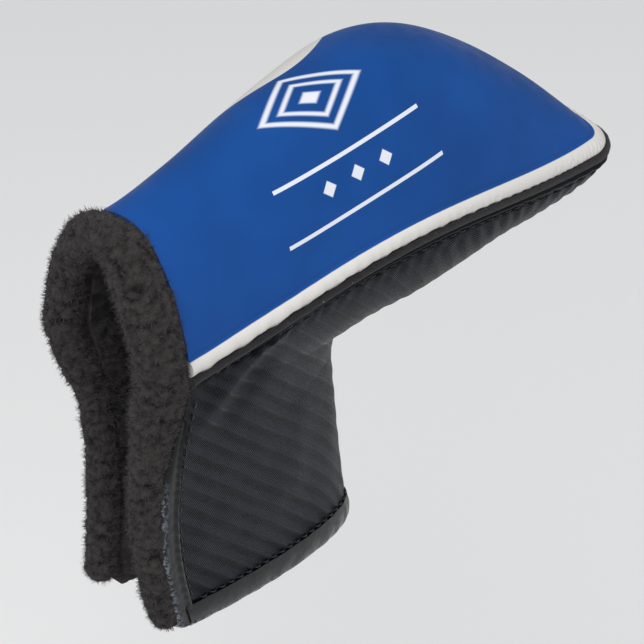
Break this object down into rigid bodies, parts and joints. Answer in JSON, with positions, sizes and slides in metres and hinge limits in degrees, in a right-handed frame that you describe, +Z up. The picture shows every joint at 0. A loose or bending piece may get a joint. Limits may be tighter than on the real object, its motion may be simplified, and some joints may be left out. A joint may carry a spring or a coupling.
{
  "type": "putter head cover",
  "caption": "Padded, fleece-lined cover for a blade putter head, with a printed crown sheet, embossed sides and a skirt whose two flaps swing open at the heel.",
  "frame": {"origin": "on the axis of the putter shaft, level with the lowest point of the skirt's hem", "axes": "+X from the shaft to the toe, +Y to the far side, +Z up along the shaft, from the skirt to the crown"},
  "size_m": [0.1592, 0.0658, 0.1373],
  "materials": {
    "printed_leatherette": "satin",
    "embossed_leatherette": "satin",
    "fleece": "matt",
    "felt": "matt",
    "tape": "matt",
    "foam": "matt",
    "thread": "satin",
    "magnet": "polished"
  },
  "bodies": {
    "cover": {"crown_sheet": "printed_leatherette", "crown_foam": "foam", "crown_lining": "fleece", "seam_welt": "felt", "arch_cuff": "fleece", "keel_tape": "tape", "near_side_panel": "embossed_leatherette", "near_side_foam": "foam", "near_side_lining": "fleece", "near_hem_band": "embossed_leatherette", "near_seam_stitching": "thread", "near_hem_stitching": "thread", "far_side_panel": "embossed_leatherette", "far_side_foam": "foam", "far_side_lining": "fleece", "far_hem_band": "embossed_leatherette", "far_seam_stitching": "thread", "far_hem_stitching": "thread"},
    "near_flap": {"near_flap_panel": "embossed_leatherette", "near_flap_foam": "foam", "near_flap_lining": "fleece", "near_flap_cuff": "fleece", "near_flap_hem": "embossed_leatherette", "near_edge_binding": "embossed_leatherette", "near_flap_stitching": "thread", "near_flap_magnets": "magnet"},
    "far_flap": {"far_flap_panel": "embossed_leatherette", "far_flap_foam": "foam", "far_flap_lining": "fleece", "far_flap_cuff": "fleece", "far_flap_hem": "embossed_leatherette", "far_edge_binding": "embossed_leatherette", "far_flap_stitching": "thread", "far_flap_magnets": "magnet"}
  },
  "joints": [
    {"name": "near_flap_fold", "type": "hinge", "parent": "cover", "child": "near_flap", "pos_m": [-0.038, -0.0206, 0.091], "axis": [-0.4994, -0.0849, 0.8622], "range_deg": [-8, 30], "stiffness_Nm_per_rad": 0.03},
    {"name": "far_flap_fold", "type": "hinge", "parent": "cover", "child": "far_flap", "pos_m": [-0.038, 0.0206, 0.091], "axis": [0.4994, -0.0849, -0.8622], "range_deg": [-8, 30], "stiffness_Nm_per_rad": 0.03}
  ]
}
